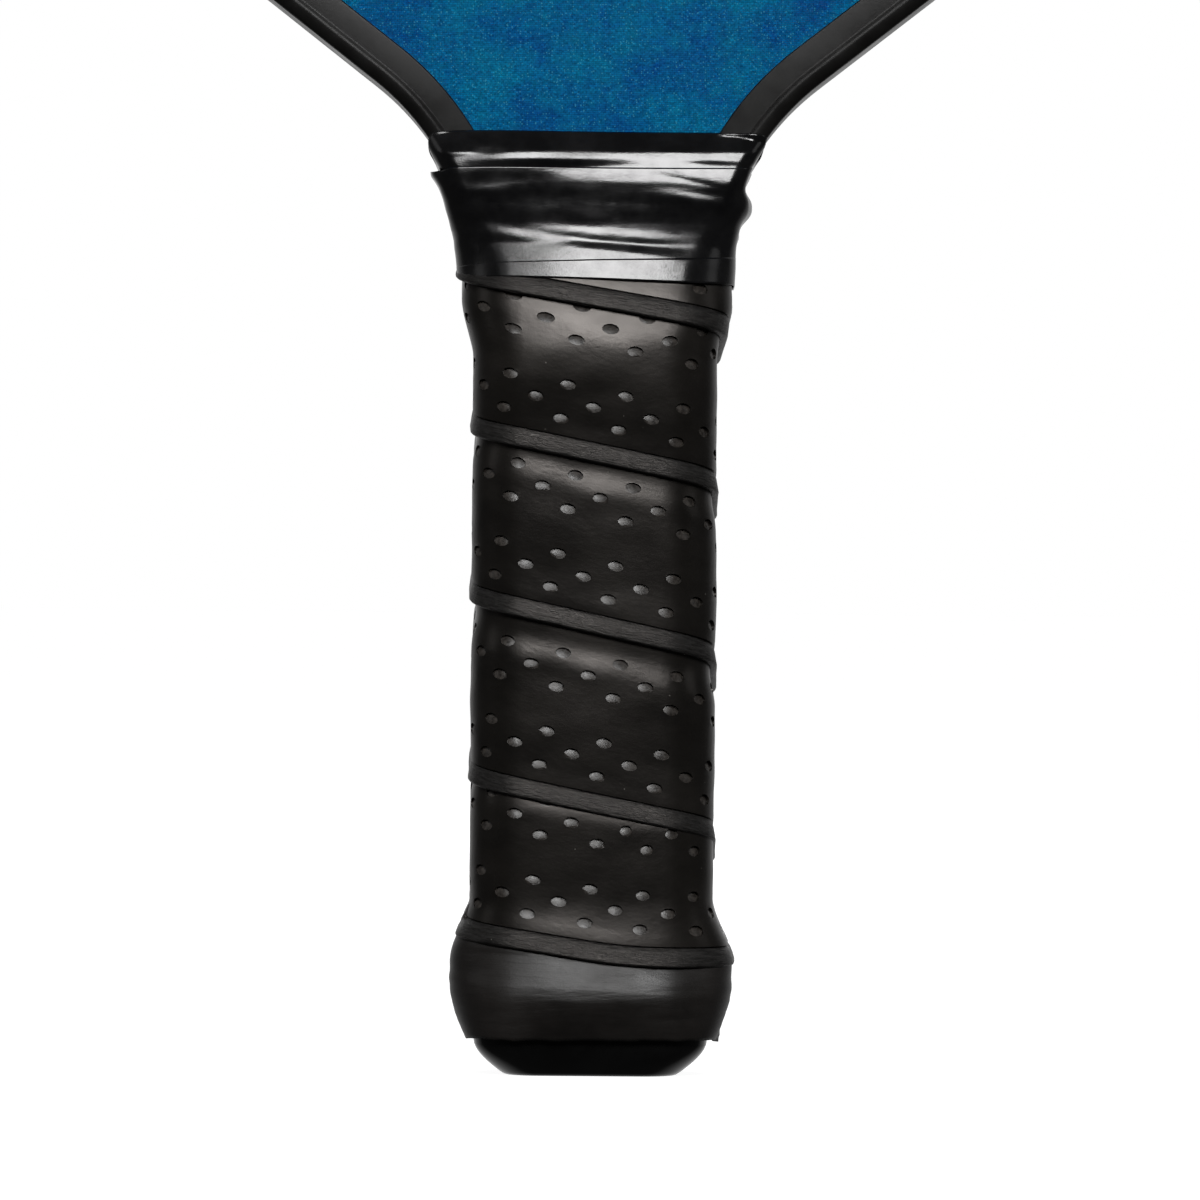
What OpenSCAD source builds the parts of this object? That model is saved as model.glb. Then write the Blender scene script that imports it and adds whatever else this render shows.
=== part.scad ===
// Pickleball paddle: a honeycomb panel whose tongue runs down into a wrapped handle.
// +X runs across the face, -Y is the front, and +Z runs up the handle from the butt's flat end.

/* [Overall] */
// Length from the butt's flat end to the top of the edge guard
paddle_length = 400; // [330:1:480]
// Width across the edge guard
face_width = 203; // [170:1:245]
// Length of the handle, from the butt to the finishing tape's upper edge
handle_length = 127.3; // [105:0.1:153]

/* [Outline] */
// Radius of the concave curve at each side of the throat
throat_r = 36; // [25:1:45]
// Slope of the straight shoulders, from the horizontal
shoulder_angle = 38; // [28:1:45]
// Radius of the two lower corners
lower_corner_r = 75; // [40:1:80]
// Radius of the two upper corners
upper_corner_r = 62; // [30:1:75]
// Radius of the slightly arched top edge
top_arch_r = 420; // [250:5:800]

/* [Panel] */
// Thickness of the honeycomb core
core_t = 13; // [9:0.5:16]
// Thickness of each bonding veil
scrim_t = 0.15; // [0.1:0.05:0.4]
// Thickness of each face sheet
face_t = 0.5; // [0.4:0.05:1]
// Size of a honeycomb cell between its flats
cell = 8; // [6:0.5:14]
// Wall between two cells
cell_wall = 0.35; // [0.3:0.05:0.8]
// Solid rim left round the core's edge
core_rim = 0.6; // [0.4:0.1:2]

/* [Edge guard] */
// Thickness of the guard's outer web
guard_web = 1.65; // [1.2:0.05:2.5]
// Width of each lip, from the guard's outer edge
lip_w = 5.8; // [4:0.1:9]
// Thickness of each lip
lip_t = 0.9; // [0.6:0.05:1.6]
// Width of the rounded outer bead
bead_w = 2.1; // [1.8:0.1:3.5]
// How far the bead stands proud of the lips
bead_rise = 0.25; // [0.1:0.05:0.6]
// Thickness of the strip that bonds the guard to the panel
edge_tape_t = 0.3; // [0.1:0.05:0.6]

/* [Handle] */
// Width across the wound grip
grip_w = 33; // [28:0.5:40]
// Depth across the wound grip
grip_d = 28; // [25:0.5:34]
// Corner radius of the wound grip
grip_corner_r = 6.8; // [4:0.1:8]
// Thickness of the grip's perforated skin
cover_t = 0.5; // [0.3:0.05:0.8]
// Thickness of the grip's foam
foam_t = 1.4; // [0.8:0.1:2.2]
// Thickness of the strip that sticks the grip down
strip_t = 0.15; // [0.1:0.05:0.3]
// Thickness of the sheet that sticks each pallet to the panel
pallet_tape_t = 0.15; // [0.1:0.05:0.3]
// Height at which the wound grip starts, on the swell of the butt
grip_z = 17; // [15:0.5:18]
// Foam left between a staple's legs and the panel
leg_margin = 2; // [1:0.25:3]

/* [Throat] */
// Distance below the handle's end at which its sides start to flare
flare_below = 20.8; // [18:0.1:24]
// Distance below the handle's end at which the guard's trimmed ends stop
guard_end_below = 25.8; // [24:0.1:30]
// Distance below the handle's end at which the guard's lips stop, clear of the pallets
lip_end_below = 1.8; // [1:0.1:3]
// Distance below the handle's end at which the pallets start to taper
taper_below = 28.3; // [20:0.1:29]
// Distance below the handle's end at which the wound grip stops, under the tape
grip_end_below = 10.8; // [8:0.1:11.5]
// Depth of a pallet at its thin end
tip_t = 0.8; // [0.5:0.1:1.5]
// Gap along the handle between a pallet's thin end and the guard's lips
tip_gap = 0.5; // [0.2:0.1:1]
// Length over which the wound grip climbs onto the guard's trimmed ends
climb = 4; // [2:0.5:6]

/* [Butt] */
// Thickness of the butt cap's floor
cap_floor = 3; // [2:0.25:4]
// Height of the butt cap
cap_h = 19.5; // [18:0.5:22]
// Height at which the soft sleeve starts
sleeve_z = 5.1; // [4.5:0.1:6]
// Height at which the butt is widest
swell_z = 12.7; // [11:0.1:14]
// How far the swell stands out from the bare handle
swell = 4.75; // [3.5:0.05:6]
// How far the flat end lies inside the bare handle's outline
end_inset = 2.95; // [2:0.05:4]
// How far the cap stands out from the bare handle where the sleeve starts
cap_rim = 1.55; // [1:0.05:2]
// Thickness of the sleeve at its lower edge
sleeve_edge_t = 0.9; // [0.5:0.05:1.2]
// Thickness of the soft sleeve
sleeve_t = 1.5; // [1:0.1:2]
// How much lower than the swell the wound grip's outer side starts
grip_drop = 0.25; // [0:0.05:0.6]
// Height over which the wound grip comes down off the swell
swell_run = 7; // [5:0.5:9]
// Play between pieces that fit into each other
fit_gap = 0.05; // [0.02:0.01:0.1]

/* [Staples] */
// Width across a staple's legs
staple_w = 8; // [6:0.5:10]
// Thickness of the staple wire
staple_wire = 0.7; // [0.5:0.05:0.9]
// Height of the cap's staples
cap_staple_z = 14; // [11:0.5:15]
// Height of the staple that holds the grip's start
grip_staple_z = 29; // [26:0.5:60]

/* [Finishing tape] */
// Width of the wound tape, down from the handle's end
tape_w = 19.8; // [17:0.1:22]
// Thickness of the wound tape
tape_t = 0.4; // [0.2:0.05:0.8]
// How much the tape squeezes the foam
tape_squeeze = 0.5; // [0:0.1:0.7]

/* [Hidden] */
$fn = 96;

// Heights at the throat.
throat_z = handle_length - flare_below;
guard_end_z = handle_length - guard_end_below;
lip_end_z = handle_length - lip_end_below;
tip_z = lip_end_z - tip_gap;
taper_z = handle_length - taper_below;
grip_top_z = handle_length - grip_end_below;
tape_z = handle_length - tape_w;

// Thickness through the panel, and the bare handle that the grip is wound on.
veil_z = core_t / 2;
face_z = veil_z + scrim_t;
panel_half = face_z + face_t;
wrap_t = strip_t + foam_t + cover_t;
bare_a = grip_w / 2 - wrap_t;
bare_b = grip_d / 2 - wrap_t;
pallet_z = panel_half + pallet_tape_t;
bare_r = min(grip_corner_r - wrap_t, bare_b - pallet_z);
tip_b = pallet_z + tip_t;

// The outline's arcs are tangent to each other. throat_half is the guard's outer half width there.
edge_in = guard_web + edge_tape_t;
throat_half = bare_a + edge_in;
sweep_angle = 90 - shoulder_angle;
out_shoulder = [sin(shoulder_angle), -cos(shoulder_angle)];
throat_c = [throat_half + throat_r, throat_z];
shoulder_p = throat_c + throat_r * [-cos(sweep_angle), sin(sweep_angle)];
lower_x = face_width / 2 - lower_corner_r;
lower_c = [lower_x, (out_shoulder[0] * lower_x - out_shoulder * shoulder_p + lower_corner_r)
    / cos(shoulder_angle)];
arch_c = [0, paddle_length - top_arch_r];
upper_x = face_width / 2 - upper_corner_r;
upper_c = [upper_x, arch_c[1] + sqrt((top_arch_r - upper_corner_r) ^ 2 - upper_x ^ 2)];
arch_angle = atan2(upper_c[1] - arch_c[1], upper_x);

function polar(r, angle) = r * [cos(angle), sin(angle)];

// ---- Outline and the sweep along it, drawn flat: x across the face, y up the handle ----

// The paddle's outline moved inwards by d, with every arc true. It runs down the tongue to y = foot.
module outline(d, foot = 0) {
    right = [[throat_half - d, foot], [throat_half - d, throat_z],
        throat_c + polar(throat_r + d, 180 - sweep_angle),
        lower_c + polar(lower_corner_r - d, -sweep_angle),
        lower_c + [lower_corner_r - d, 0],
        upper_c + [upper_corner_r - d, 0],
        arch_c + polar(top_arch_r - d, arch_angle)];
    left = [for (i = [len(right) - 1:-1:0]) [-right[i][0], right[i][1]]];
    arch_x = right[6][0];
    difference() {
        union() {
            polygon(concat(right, left));
            for (side = [-1, 1]) {
                translate([side * lower_c[0], lower_c[1]]) circle(lower_corner_r - d);
                translate([side * upper_c[0], upper_c[1]]) circle(upper_corner_r - d);
            }
            intersection() {
                translate(arch_c) circle(top_arch_r - d, $fn = 720);
                translate([-arch_x, upper_c[1]]) square([2 * arch_x, paddle_length]);
            }
        }
        for (side = [-1, 1]) translate([side * throat_c[0], throat_c[1]]) circle(throat_r + d);
    }
}

// Stops along an arc of the outline: the point, and the direction outwards. A concave arc has bend -1.
function arc_stops(c, r, from, to, n, bend) =
    [for (i = [0:n]) let (out = polar(1, from + (to - from) * i / n)) [c + r * out, bend * out]];

// Stops along the whole outline, from height z0 at the right of the throat over the top to the left.
function edge_stops(z0) =
    let (low = z0 < throat_z ? 0 : asin((z0 - throat_z) / throat_r),
        foot = z0 < throat_z ? [[[throat_half, z0], [1, 0]]] : [],
        right = concat(foot, arc_stops(throat_c, throat_r, 180 - low, 180 - sweep_angle, 12, -1),
            arc_stops(lower_c, lower_corner_r, -sweep_angle, 0, 14, 1),
            arc_stops(upper_c, upper_corner_r, 0, arch_angle, 20, 1),
            arc_stops(arch_c, top_arch_r, arch_angle, 90, 4, 1)),
        kept = [for (i = [0:len(right) - 1])
            if (i == 0 || norm(right[i][0] - right[i - 1][0]) > fit_gap) right[i]])
    concat(kept, [for (i = [len(kept) - 2:-1:0]) [for (v = kept[i]) [-v[0], v[1]]]]);

// Sweeps a section along stops of the outline. x in the section is inwards from the edge.
module along_edge(stops, section) {
    rings_solid([for (s = stops) [for (q = section)
        [s[0][0] - s[1][0] * q[0], q[1], s[0][1] - s[1][1] * q[0]]]], false);
}

// Stands the flat drawing up, so that its z becomes the thickness, with the front at +z.
module stand() {
    rotate([90, 0, 0]) children();
}

// A sheet of the panel between two depths, inside the edge guard.
module panel_sheet(z0, z1) {
    stand() translate([0, 0, z0]) linear_extrude(z1 - z0) outline(edge_in + fit_gap, cap_floor);
}

// A rectangle with rounded corners, centred, with half sizes a and b.
module rounded(a, b, r) {
    square([2 * (a - r), 2 * b], center = true);
    square([2 * a, 2 * (b - r)], center = true);
    for (x = [-1, 1], y = [-1, 1]) translate([x * (a - r), y * (b - r)]) circle(r);
}

// ---- Panel ----

// How far a point lies inside the core's edge, from the nearest stretch of the outline.
function inside_by(p) =
    let (x = abs(p[0]), y = p[1], q = [x, y],
        below = q - lower_c, above = q - upper_c,
        in_side = face_width / 2 - x,
        in_top = top_arch_r - norm(q - arch_c),
        in_corner = above[0] > 0 && above[1] > 0 ? upper_corner_r - norm(above) : in_side,
        in_lower = below[1] < 0 && atan2(below[1], below[0]) > -sweep_angle
            ? lower_corner_r - norm(below) : in_side,
        in_shoulder = (shoulder_p - q) * out_shoulder,
        in_throat = y < throat_z ? throat_half - x : norm(q - throat_c) - throat_r,
        in_neck = y < shoulder_p[1] ? in_throat : in_shoulder)
    min(in_side, in_top, in_corner, in_lower, in_neck, y - cap_floor + edge_in) - edge_in;

// Polymer honeycomb plate. Its cells run through the thickness, and the rim cuts those at the edge.
module honeycomb_core() {
    pitch = cell + cell_wall;
    row = pitch * sqrt(3) / 2;
    cell_r = cell / sqrt(3);
    across = ceil(face_width / pitch / 2);
    least_inside = 0.3 * cell_r; // a cell centred nearer to the edge than this would be a sliver
    color("gainsboro") stand() translate([0, 0, -veil_z]) linear_extrude(core_t) difference() {
        outline(edge_in + fit_gap, cap_floor);
        intersection() {
            outline(edge_in + core_rim, cap_floor + core_rim);
            for (j = [0:floor(paddle_length / row)], i = [-across:across])
                let (p = [(i + (j % 2) / 2) * pitch, cap_floor + j * row])
                    if (inside_by(p) > least_inside) translate(p) rotate(30) circle(cell_r, $fn = 6);
        }
    }
}

module core_scrim_front() {
    color("white") panel_sheet(veil_z, face_z);
}

module core_scrim_back() {
    color("white") panel_sheet(-face_z, -veil_z);
}

module front_face() {
    color("steelblue") panel_sheet(face_z, panel_half);
}

module back_face() {
    color("steelblue") panel_sheet(-panel_half, -face_z);
}

// ---- Edge guard ----

// A section and its mirror image across the panel's middle, as one closed loop.
function both_sides(half) = concat(half, [for (i = [len(half) - 1:-1:0]) [half[i][0], -half[i][1]]]);

// The guard's section: a rounded bead outside, and a channel with two lips that holds the panel.
lip_half = panel_half + lip_t;
bead_half = lip_half + bead_rise;
bead_r = 0.8 * bead_w;
guard_section = both_sides(concat([[guard_web, panel_half], [lip_w, panel_half], [lip_w, lip_half],
    [bead_w + bead_rise, lip_half]],
    [for (a = [90:22.5:180]) [bead_r, bead_half - bead_r] + polar(bead_r, a)]));

// The section of the trimmed ends, which keep only the web.
web_r = 0.4 * guard_web;
web_section = both_sides(concat([[guard_web - fit_gap, panel_half]],
    [for (a = [90:30:180]) [web_r + fit_gap, panel_half - web_r] + polar(web_r, a)]));

module edge_guard() {
    joined_z = lip_end_z + 1; // the trimmed ends run this far into the full section
    web_stops = concat([[[throat_half, guard_end_z], [1, 0]]],
        arc_stops(throat_c, throat_r, 180, 180 - asin((joined_z - throat_z) / throat_r), 8, -1));
    color([0.12, 0.12, 0.12]) {
        along_edge(edge_stops(lip_end_z), guard_section);
        for (side = [0, 1]) mirror([side, 0, 0])
            along_edge(web_stops, web_section);
    }
}

module edge_guard_tape() {
    strip_half = core_t / 2 - 0.5;
    color("silver") along_edge(edge_stops(guard_end_z),
        both_sides([[edge_in, strip_half], [guard_web, strip_half]]));
}

// ---- Handle core ----

// Depth of a pallet at height z: full down the handle, then rounding off towards the face.
function pallet_b(z) = z < taper_z ? bare_b
    : z > tip_z ? tip_b
    : tip_b + (bare_b - tip_b) * (1 + cos(180 * (z - taper_z) / (tip_z - taper_z))) / 2;

// A foam half that lies on the front of the tongue and carries the handle's round corners.
module pallet() {
    steps = 10;
    taper = [for (i = [0:steps]) let (z = taper_z + (tip_z - taper_z) * i / steps) [pallet_b(z), z]];
    intersection() {
        translate([0, 0, cap_floor]) linear_extrude(tip_z - cap_floor) rounded(bare_a, bare_b, bare_r);
        rotate([90, 0, -90]) translate([0, 0, -bare_a - 1]) linear_extrude(2 * bare_a + 2)
            polygon(concat([[pallet_z, cap_floor - 1], [bare_b + 1, cap_floor - 1], [bare_b + 1, taper_z]],
                taper, [[pallet_z, tip_z]]));
    }
}

module handle_pallet_front() {
    color("burlywood") difference() {
        pallet();
        cap_staple_pair(fit_gap);
        grip_start_staple(fit_gap);
    }
}

module handle_pallet_back() {
    color("burlywood") difference() {
        rotate([0, 0, 180]) pallet();
        cap_staple_pair(fit_gap);
    }
}

// Double-sided sheet between a pallet and the panel.
module pallet_sheet(z0) {
    stand() translate([-bare_a, cap_floor, z0]) cube([2 * bare_a, tip_z - cap_floor, pallet_tape_t]);
}

module pallet_tape_front() {
    color("ivory") pallet_sheet(panel_half);
}

module pallet_tape_back() {
    color("ivory") pallet_sheet(-pallet_z);
}

// ---- Wound and moulded sleeves of the handle: rings of points at rising heights ----

// One ring: a rounded rectangle with half sizes a and b at height z.
function ring(z, a, b, r) =
    [for (i = [0:3], j = [0:5])
        let (angle = 90 * i + 18 * j, sx = i == 0 || i == 3 ? 1 : -1, sy = i < 2 ? 1 : -1)
        [sx * (a - r) + r * cos(angle), sy * (b - r) + r * sin(angle), z]];

// A ring that stands out from the bare handle by t all round.
function ring_out(z, t) = ring(z, bare_a + t, bare_b + t, max(bare_r + t, 1));

// Joins rings into a closed solid: end to start as a sleeve, or capped at both ends.
module rings_solid(rings, sleeve) {
    n = len(rings[0]);
    last = len(rings) - 1;
    bands = sleeve ? last : last - 1;
    wall = [for (k = [0:bands], i = [0:n - 1])
        let (up = (k + 1) % (last + 1), next = (i + 1) % n)
        each [[k * n + i, up * n + i, k * n + next], [k * n + next, up * n + i, up * n + next]]];
    caps = sleeve ? [] : [[for (i = [0:n - 1]) i], [for (i = [n - 1:-1:0]) last * n + i]];
    polyhedron([for (r = rings) each r], concat(wall, caps));
}

// A sleeve between an outer stack of rings and an inner one at the same heights.
module sleeve_solid(outer, inner) {
    rings_solid(concat(outer, [for (i = [len(inner) - 1:-1:0]) inner[i]]), true);
}

function steps(z0, z1, n) = [for (i = [0:n]) z0 + (z1 - z0) * i / n];
function ease(x) = x < 0 ? 0 : x > 1 ? 1 : (1 - cos(180 * x)) / 2;

// Half width of the guard's outer side below the shoulders.
function guard_x(z) = z < throat_z ? throat_half
    : throat_half + throat_r - sqrt(throat_r ^ 2 - (z - throat_z) ^ 2);

// How far the grip's inner side stands out over the butt's swell, dying away above it.
swell_end_z = grip_z + swell_run;
function over_swell(z) = (swell - wrap_t - grip_drop) * (1 - ease((z - grip_z) / swell_run));

// The butt cap's outer side, below and above the widest point.
function cap_out(z) = z < swell_z
    ? (z < sleeve_z ? -end_inset + (cap_rim + end_inset) * sin(90 * z / sleeve_z)
        : cap_rim + (swell - sleeve_t - cap_rim) * sin(90 * (z - sleeve_z) / (swell_z - sleeve_z)))
    : z < grip_z ? swell - sleeve_t - (swell - sleeve_t - over_swell(grip_z) + fit_gap)
        * ease((z - swell_z) / (grip_z - swell_z))
    : over_swell(z) - fit_gap;

// The soft sleeve's outer side.
function sleeve_out(z) = z < swell_z
    ? cap_rim + sleeve_edge_t
        + (swell - cap_rim - sleeve_edge_t) * sin(90 * (z - sleeve_z) / (swell_z - sleeve_z))
    : swell - grip_drop * ease((z - swell_z) / (grip_z - swell_z));

// A ring of the wound grip, standing t off the handle and passing over the swell and the guard's ends.
function grip_ring(z, t) =
    let (swell_t = over_swell(z), lift = ease((z - guard_end_z) / climb + 1),
        squeeze = t > foam_t ? tape_squeeze * ease(z - tape_z) : 0)
    ring(z, bare_a + swell_t + t + (guard_x(z) - bare_a) * lift - squeeze,
        pallet_b(z) + swell_t + t - squeeze, bare_r + t + swell_t);

grip_heights = concat(steps(grip_z, swell_end_z, 6), steps(guard_end_z - climb, guard_end_z, 3),
    steps(guard_end_z + 2, tape_z, 4), steps(tape_z + 1, grip_top_z, 4));

// ---- Butt ----

butt_low = steps(0, sleeve_z, 6);
butt_high = steps(sleeve_z, swell_z, 6);
butt_top = steps(swell_z, grip_z, 4);
cap_top = steps(grip_z, cap_h, 3);

// Moulded cap that closes the handle, swells outwards, and holds the tongue and pallets in its cavity.
module butt_cap() {
    heights = concat(butt_low, [for (i = [1:6]) butt_high[i]], [for (i = [1:4]) butt_top[i]],
        [for (i = [1:3]) cap_top[i]]);
    color([0.05, 0.05, 0.05]) difference() {
        rings_solid([for (z = heights) ring_out(z, cap_out(z))], false);
        translate([0, 0, cap_floor]) linear_extrude(cap_h)
            rounded(bare_a + fit_gap, bare_b + fit_gap, bare_r);
        cap_staple_pair(fit_gap);
    }
}

// Soft collar stretched over the cap's swell, under the grip's first turn.
module butt_sleeve() {
    heights = concat(butt_high, [for (i = [1:4]) butt_top[i] - (i == 4 ? fit_gap : 0)]);
    color([0.14, 0.13, 0.12]) sleeve_solid([for (z = heights) ring_out(z, sleeve_out(z))],
        [for (z = heights) ring_out(z, cap_out(z) + fit_gap)]);
}

// ---- Staples ----

// A staple in the front of the handle at height z, with its crown's outer side at depth b.
module staple(z, b, gap) {
    leg_end = pallet_z + leg_margin;
    half = staple_wire / 2 + gap;
    translate([-staple_w / 2 - half, -b - gap, z - half]) cube([staple_w + 2 * half, 2 * half, 2 * half]);
    for (x = [-1, 1]) translate([x * staple_w / 2 - half, -b - gap, z - half])
        cube([2 * half, b - leg_end + gap, 2 * half]);
}

// The staples through the front and back of the butt cap.
module cap_staple_pair(gap) {
    crown = bare_b + cap_out(cap_staple_z) - 0.1;
    for (turned = [0, 180]) rotate([0, 0, turned]) staple(cap_staple_z, crown, gap);
}

module grip_start_staple(gap) {
    staple(grip_staple_z, bare_b + strip_t + staple_wire, gap);
}

module butt_cap_staples() {
    color("silver") cap_staple_pair(0);
}

module grip_staple() {
    color("silver") grip_start_staple(0);
}

// ---- Grip ----

module grip_adhesive_strip() {
    color("ivory") difference() {
        translate([0, 0, swell_end_z]) linear_extrude(guard_end_z - climb - swell_end_z) difference() {
            rounded(bare_a + strip_t, bare_b + strip_t, bare_r + strip_t);
            rounded(bare_a, bare_b, bare_r);
        }
        grip_start_staple(fit_gap);
    }
}

module grip_cushion() {
    color("dimgray") difference() {
        sleeve_solid([for (z = grip_heights) grip_ring(z, strip_t + foam_t)],
            [for (z = grip_heights) grip_ring(z, strip_t + fit_gap)]);
        grip_start_staple(fit_gap);
    }
}

module grip_cover() {
    color([0.1, 0.1, 0.1]) sleeve_solid([for (z = grip_heights) grip_ring(z, wrap_t)],
        [for (z = grip_heights) grip_ring(z, strip_t + foam_t)]);
}

// ---- Finishing tape ----

// A ring of the tape's inner side: on the grip, then down onto the guard and the lips.
function tape_ring(z, t) =
    let (off = ease((z - grip_top_z) / 4), on_grip = wrap_t - tape_squeeze,
        a = guard_x(z) + on_grip * (1 - off) + t,
        b = max(pallet_b(z) + on_grip * (1 - off), bead_half) + t)
    ring(z, a, b, min(bare_r, bead_r + (bare_r - bead_r) * (1 - off)) + t);

module finishing_tape() {
    heights = concat([for (z = grip_heights) if (z > tape_z - fit_gap) z],
        [for (i = [1:6]) steps(grip_top_z, handle_length, 6)[i]]);
    color([0.03, 0.03, 0.03]) sleeve_solid([for (z = heights) tape_ring(z, fit_gap + tape_t)],
        [for (z = heights) tape_ring(z, fit_gap)]);
}

honeycomb_core();
core_scrim_front();
core_scrim_back();
front_face();
back_face();
edge_guard();
edge_guard_tape();
handle_pallet_front();
handle_pallet_back();
pallet_tape_front();
pallet_tape_back();
butt_cap();
butt_cap_staples();
butt_sleeve();
grip_adhesive_strip();
grip_cushion();
grip_cover();
grip_staple();
finishing_tape();
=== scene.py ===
import math
import random

import bpy
from mathutils import Matrix, Vector, noise


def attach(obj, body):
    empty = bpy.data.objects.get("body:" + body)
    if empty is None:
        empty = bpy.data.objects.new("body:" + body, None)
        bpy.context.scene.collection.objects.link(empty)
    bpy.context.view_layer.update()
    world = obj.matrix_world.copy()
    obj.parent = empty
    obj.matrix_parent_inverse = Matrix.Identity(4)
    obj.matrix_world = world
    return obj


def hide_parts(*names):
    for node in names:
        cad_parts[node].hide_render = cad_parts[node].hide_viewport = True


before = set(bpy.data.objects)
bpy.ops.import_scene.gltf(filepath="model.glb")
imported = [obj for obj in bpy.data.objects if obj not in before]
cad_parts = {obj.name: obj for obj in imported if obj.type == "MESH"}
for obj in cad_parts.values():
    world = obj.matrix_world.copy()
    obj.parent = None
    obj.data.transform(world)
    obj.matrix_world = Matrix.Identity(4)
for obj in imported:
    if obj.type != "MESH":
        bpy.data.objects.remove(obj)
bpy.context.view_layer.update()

# ---- Camera ----
# A long lens straight in front of the handle, level with its middle.
# The paddle leans a trace to the right of upright, so the camera is rolled by as much.
MM = 0.001
camera = bpy.data.objects.new("camera", bpy.data.cameras.new("camera"))
camera.data.lens = 250
camera.data.sensor_width = 36
camera.location = (0.88 * MM, -1139 * MM, 64.6 * MM)
camera.rotation_euler = (math.radians(90), math.radians(-0.44), 0)
bpy.context.scene.collection.objects.link(camera)
bpy.context.scene.camera = camera


# ---- Honeycomb core ----
# A plate of extruded polypropylene honeycomb, sawn to the paddle's outline with its tongue.
# It is hidden by the faces and the guard, and shows only when the paddle is taken apart.
def new_material(name, roughness, specular=0.5):
    """An empty finish: its node tree, its shader, and the piece's own coordinates."""
    material = bpy.data.materials.new(name)
    material.use_nodes = True
    tree = material.node_tree
    shader = tree.nodes["Principled BSDF"]
    shader.inputs["Roughness"].default_value = roughness
    shader.inputs["Specular IOR Level"].default_value = specular
    place = add(tree, "TexCoord").outputs["Object"]
    return material, tree, shader, place


def add(tree, kind, inputs=(), **settings):
    """Adds a node. A socket among its inputs is linked, and a value is set."""
    made = tree.nodes.new("ShaderNode" + kind)
    for name, value in settings.items():
        setattr(made, name, value)
    for key, value in dict(inputs).items():
        if isinstance(value, bpy.types.NodeSocket):
            tree.links.new(value, made.inputs[key])
        else:
            made.inputs[key].default_value = value
    return made


def grain(tree, place, scale, detail=2, rough=0.5):
    """Noise whose lumps are about 1 / scale metres across."""
    return add(tree, "TexNoise", {"Vector": place, "Scale": scale, "Detail": detail,
                                  "Roughness": rough}).outputs["Fac"]


def between(tree, value, low, high, to_low=0.0, to_high=1.0):
    """Stretches a value from low..high to to_low..to_high, and holds it there."""
    return add(tree, "MapRange", {"Value": value, "From Min": low, "From Max": high,
                                  "To Min": to_low, "To Max": to_high}).outputs["Result"]


MIX_FACTOR, MIX_FIRST, MIX_SECOND, MIX_RESULT = 0, 6, 7, 2    # the Mix node's sockets for colours


def mixed(tree, factor, first, second):
    """A colour between two others. Each is a socket or red, green and blue."""
    inputs = {MIX_FACTOR: factor}
    for key, colour in ((MIX_FIRST, first), (MIX_SECOND, second)):
        inputs[key] = colour if isinstance(colour, bpy.types.NodeSocket) else (*colour, 1)
    return add(tree, "Mix", inputs, data_type="RGBA").outputs[MIX_RESULT]


def math_of(tree, operation, first, second):
    """One sum on sockets or numbers."""
    return add(tree, "Math", {0: first, 1: second}, operation=operation).outputs[0]


def coat(tree, shader, colour, roughness):
    """Links a finish's colour and its uneven gloss."""
    tree.links.new(colour, shader.inputs["Base Color"])
    tree.links.new(roughness, shader.inputs["Roughness"])


def bump(tree, shader, height, depth, below=None):
    """Relief of the given depth in metres, laid on any relief below it."""
    inputs = {"Height": height, "Distance": depth, "Strength": 1.0}
    if below:
        inputs["Normal"] = below
    made = add(tree, "Bump", inputs).outputs["Normal"]
    tree.links.new(made, shader.inputs["Normal"])
    return made


def mottled(name, dark, light, scale, roughness, relief, specular=0.5):
    """A plain finish with cloudy colour, uneven gloss and a fine grain."""
    material, tree, shader, place = new_material(name, roughness, specular)
    cloud = between(tree, grain(tree, place, scale, 4), 0.35, 0.65)
    coat(tree, shader, mixed(tree, cloud, dark, light),
         between(tree, cloud, 0, 1, roughness - 0.06, roughness + 0.06))
    bump(tree, shader, grain(tree, place, scale * 8, 3), relief)
    return material


def finish_nodes(material, *names):
    """Gives CAD nodes their material."""
    for name in names:
        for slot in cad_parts[name].material_slots:
            slot.material = material


polymer = mottled("core_polymer", (0.62, 0.64, 0.62), (0.78, 0.79, 0.77), 250, 0.45, 0.02 * MM)
polymer.node_tree.nodes["Principled BSDF"].inputs["Subsurface Weight"].default_value = 0.2
finish_nodes(polymer, "honeycomb_core")

# ---- Bonding veils ----
# Thin non-woven polyester veils fused to both sides of the core, so that the faces can be glued on.
veil, tree, shader, place = new_material("bonding_veil", 0.85, 0.2)
fibres = grain(tree, place, 1400, 6, 0.7)
fleece = mixed(tree, between(tree, fibres, 0.4, 0.6), (0.70, 0.70, 0.67), (0.88, 0.88, 0.85))
tree.links.new(fleece, shader.inputs["Base Color"])
bump(tree, shader, fibres, 0.05 * MM)
finish_nodes(veil, "core_scrim_front", "core_scrim_back")

# ---- Faces ----
# Woven glass-fibre sheets, printed in deep blue with drifting teal clouds and clear-coated.
# The weave shows through the print as fine rows of dashes. The specks of light it catches are painted
# glints: bright cyan spots mixed into the base colour.
THREAD = 0.29 * MM
PAINTED_GLINT_SPACING = 0.36 * MM
DEEP_BLUE = (0.000, 0.085, 0.335)
TEAL = (0.000, 0.215, 0.405)
# Colour of the painted glints, the specks of light on the weave
PAINTED_GLINT = (0.06, 0.50, 0.66)


def spots(tree, place, spacing, share, core, edge):
    """Small round spots, one to a cell of the given spacing, and only in that share of the cells."""
    cells = add(tree, "TexVoronoi", {"Vector": place, "Scale": 1 / spacing})
    draw = add(tree, "SeparateColor", {0: cells.outputs["Color"]}).outputs[0]
    kept = math_of(tree, "GREATER_THAN", draw, 1 - share)
    return math_of(tree, "MULTIPLY", between(tree, cells.outputs["Distance"], core, edge, 1, 0), kept)


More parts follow.
